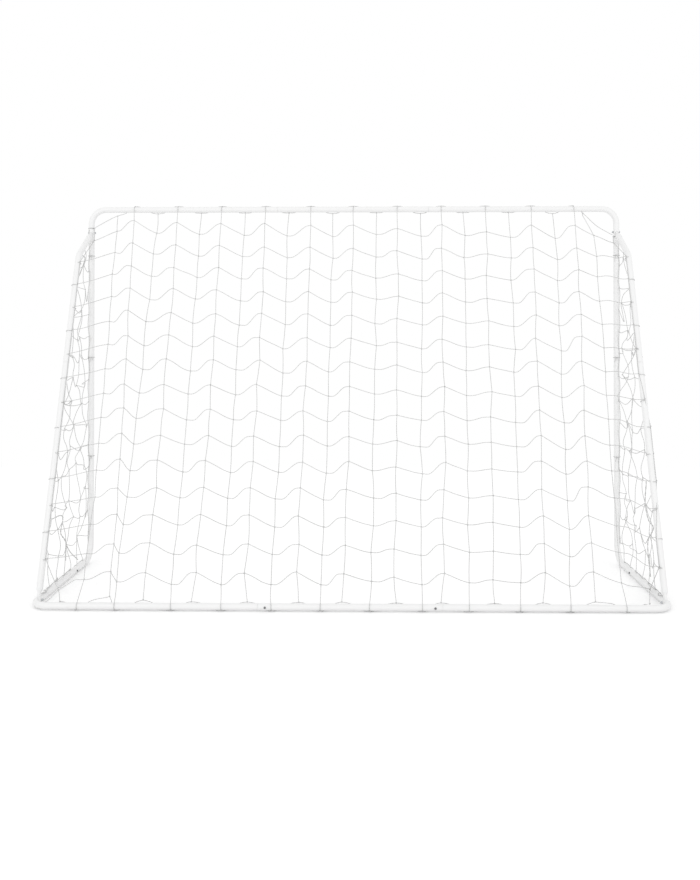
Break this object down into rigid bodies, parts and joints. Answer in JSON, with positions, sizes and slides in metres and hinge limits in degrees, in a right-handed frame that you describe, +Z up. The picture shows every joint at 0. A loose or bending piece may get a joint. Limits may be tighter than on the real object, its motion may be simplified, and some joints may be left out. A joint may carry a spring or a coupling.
{
  "type": "sports goal",
  "caption": "Small garden sports goal: white push-fit steel tube frame with bent rear struts, sprung snap buttons and a knotted square-mesh net.",
  "frame": {"origin": "middle of the goal's footprint, on the ground", "axes": "+X along the width, +Z up, the open mouth faces -Y and the rear ground bar lies at +Y"},
  "size_m": [1.8376, 0.616, 1.22],
  "materials": {
    "white_powder_coat": "smooth white powder coat, satin gloss",
    "button_steel": "darkened steel",
    "spring_steel": "bare spring steel",
    "plated_steel": "bright zinc plate",
    "net_twine": "thin white twisted twine, knotted"
  },
  "bodies": {
    "frame": {"crossbar_centre": "white_powder_coat", "top_corner_left": "white_powder_coat", "top_corner_right": "white_powder_coat", "upright_left": "white_powder_coat", "upright_right": "white_powder_coat", "rear_corner_left": "white_powder_coat", "rear_corner_right": "white_powder_coat", "rear_bar_centre": "white_powder_coat", "strut_upper_left": "white_powder_coat", "strut_upper_right": "white_powder_coat", "strut_lower_left": "white_powder_coat", "strut_lower_right": "white_powder_coat", "leaf_spring_crossbar_left": "spring_steel", "leaf_spring_crossbar_right": "spring_steel", "leaf_spring_rear_bar_left": "spring_steel", "leaf_spring_rear_bar_right": "spring_steel", "leaf_spring_upright_left": "spring_steel", "leaf_spring_upright_right": "spring_steel", "leaf_spring_side_tube_left": "spring_steel", "leaf_spring_side_tube_right": "spring_steel", "leaf_spring_strut_left": "spring_steel", "leaf_spring_strut_right": "spring_steel", "strut_bolt_top_left": "plated_steel", "strut_bolt_top_right": "plated_steel", "strut_bolt_foot_left": "plated_steel", "strut_bolt_foot_right": "plated_steel", "strut_nut_top_left": "plated_steel", "strut_nut_top_right": "plated_steel", "strut_nut_foot_left": "plated_steel", "strut_nut_foot_right": "plated_steel", "net_back": "net_twine", "net_side_left": "net_twine", "net_side_right": "net_twine", "net_tie_left_1": "net_twine", "net_tie_left_2": "net_twine", "net_tie_left_3": "net_twine", "net_tie_right_1": "net_twine", "net_tie_right_2": "net_twine", "net_tie_right_3": "net_twine"},
    "button_crossbar_left": {"snap_button_crossbar_left": "button_steel"},
    "button_crossbar_right": {"snap_button_crossbar_right": "button_steel"},
    "button_rear_bar_left": {"snap_button_rear_bar_left": "button_steel"},
    "button_rear_bar_right": {"snap_button_rear_bar_right": "button_steel"},
    "button_upright_left": {"snap_button_upright_left": "button_steel"},
    "button_upright_right": {"snap_button_upright_right": "button_steel"},
    "button_side_tube_left": {"snap_button_side_tube_left": "button_steel"},
    "button_side_tube_right": {"snap_button_side_tube_right": "button_steel"},
    "button_strut_left": {"snap_button_strut_left": "button_steel"},
    "button_strut_right": {"snap_button_strut_right": "button_steel"}
  },
  "joints": [
    {"name": "press_crossbar_left", "type": "slide", "parent": "frame", "child": "button_crossbar_left", "axis": [0, 1, 0], "range_m": [0, 0.0043], "stiffness_N_per_m": 1500, "springref_m": -0.003, "deforming": ["leaf_spring_crossbar_left"]},
    {"name": "press_crossbar_right", "type": "slide", "parent": "frame", "child": "button_crossbar_right", "axis": [0, 1, 0], "range_m": [0, 0.0043], "stiffness_N_per_m": 1500, "springref_m": -0.003, "deforming": ["leaf_spring_crossbar_right"]},
    {"name": "press_rear_bar_left", "type": "slide", "parent": "frame", "child": "button_rear_bar_left", "axis": [0, -1, 0], "range_m": [0, 0.0043], "stiffness_N_per_m": 1500, "springref_m": -0.003, "deforming": ["leaf_spring_rear_bar_left"]},
    {"name": "press_rear_bar_right", "type": "slide", "parent": "frame", "child": "button_rear_bar_right", "axis": [0, -1, 0], "range_m": [0, 0.0043], "stiffness_N_per_m": 1500, "springref_m": -0.003, "deforming": ["leaf_spring_rear_bar_right"]},
    {"name": "press_upright_left", "type": "slide", "parent": "frame", "child": "button_upright_left", "axis": [0, 1, 0], "range_m": [0, 0.0043], "stiffness_N_per_m": 1500, "springref_m": -0.003, "deforming": ["leaf_spring_upright_left"]},
    {"name": "press_upright_right", "type": "slide", "parent": "frame", "child": "button_upright_right", "axis": [0, 1, 0], "range_m": [0, 0.0043], "stiffness_N_per_m": 1500, "springref_m": -0.003, "deforming": ["leaf_spring_upright_right"]},
    {"name": "press_side_tube_left", "type": "slide", "parent": "frame", "child": "button_side_tube_left", "axis": [-1, 0, 0], "range_m": [0, 0.0043], "stiffness_N_per_m": 1500, "springref_m": -0.003, "deforming": ["leaf_spring_side_tube_left"]},
    {"name": "press_side_tube_right", "type": "slide", "parent": "frame", "child": "button_side_tube_right", "axis": [1, 0, 0], "range_m": [0, 0.0043], "stiffness_N_per_m": 1500, "springref_m": -0.003, "deforming": ["leaf_spring_side_tube_right"]},
    {"name": "press_strut_left", "type": "slide", "parent": "frame", "child": "button_strut_left", "axis": [0.866, 0.4694, 0.1723], "range_m": [0, 0.0043], "stiffness_N_per_m": 1500, "springref_m": -0.003, "deforming": ["leaf_spring_strut_left"]},
    {"name": "press_strut_right", "type": "slide", "parent": "frame", "child": "button_strut_right", "axis": [-0.866, 0.4694, 0.1723], "range_m": [0, 0.0043], "stiffness_N_per_m": 1500, "springref_m": -0.003, "deforming": ["leaf_spring_strut_right"]}
  ]
}
